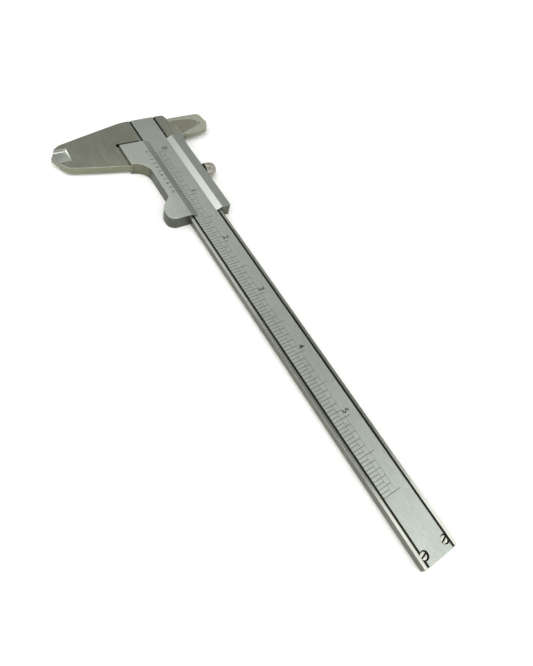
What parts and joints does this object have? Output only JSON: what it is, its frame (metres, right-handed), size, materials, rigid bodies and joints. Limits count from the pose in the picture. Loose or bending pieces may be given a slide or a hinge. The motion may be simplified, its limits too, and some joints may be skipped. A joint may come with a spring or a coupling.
{
  "type": "vernier caliper",
  "caption": "Steel vernier caliper with outside jaws, crossing inside jaws, a sliding vernier head with thumb rest and lock screw, and a depth rod.",
  "frame": {"origin": "on the ground plane under the middle of the closed caliper's bounding box", "axes": "+X along the beam towards its tail, +Y towards the inside jaws, +Z out of the graduated face; it lies on the slider's back"},
  "size_m": [0.194, 0.0684, 0.0057],
  "materials": {
    "satin_steel": "satin, fine blasted",
    "ground_steel": "surface ground",
    "bright_steel": "polished",
    "screw_steel": "turned",
    "engraved_black": "black filled engraving"
  },
  "bodies": {
    "beam": {"main_beam": "satin_steel", "stop_plate": "satin_steel", "stop_screw_lower": "screw_steel", "stop_screw_upper": "screw_steel"},
    "slide": {"slider": "satin_steel", "gib_press_screw_1": "screw_steel", "gib_set_screw_1": "screw_steel", "gib_press_screw_2": "screw_steel", "gib_set_screw_2": "screw_steel", "depth_rod": "bright_steel", "depth_rod_screw_1": "screw_steel", "depth_rod_screw_2": "screw_steel"},
    "gib": {"gib_strip": "bright_steel"},
    "lock": {"lock_screw": "bright_steel"}
  },
  "joints": [
    {"name": "slider_travel", "type": "slide", "parent": "beam", "child": "slide", "axis": [1, 0, 0], "range_m": [0, 0.13]},
    {"name": "lock_screw_turn", "type": "hinge", "parent": "slide", "child": "lock", "pos_m": [-0.0619, 0.02025, 0.00285], "axis": [0, -1, 0], "range_deg": [0, 60]},
    {"name": "gib_clamp", "type": "slide", "parent": "slide", "child": "gib", "axis": [0, -1, 0], "range_m": [0, 0.000075]}
  ],
  "couplings": [
    {"joint": "lock_screw_turn", "follows": "gib_clamp", "rad_per_m": 13962}
  ]
}
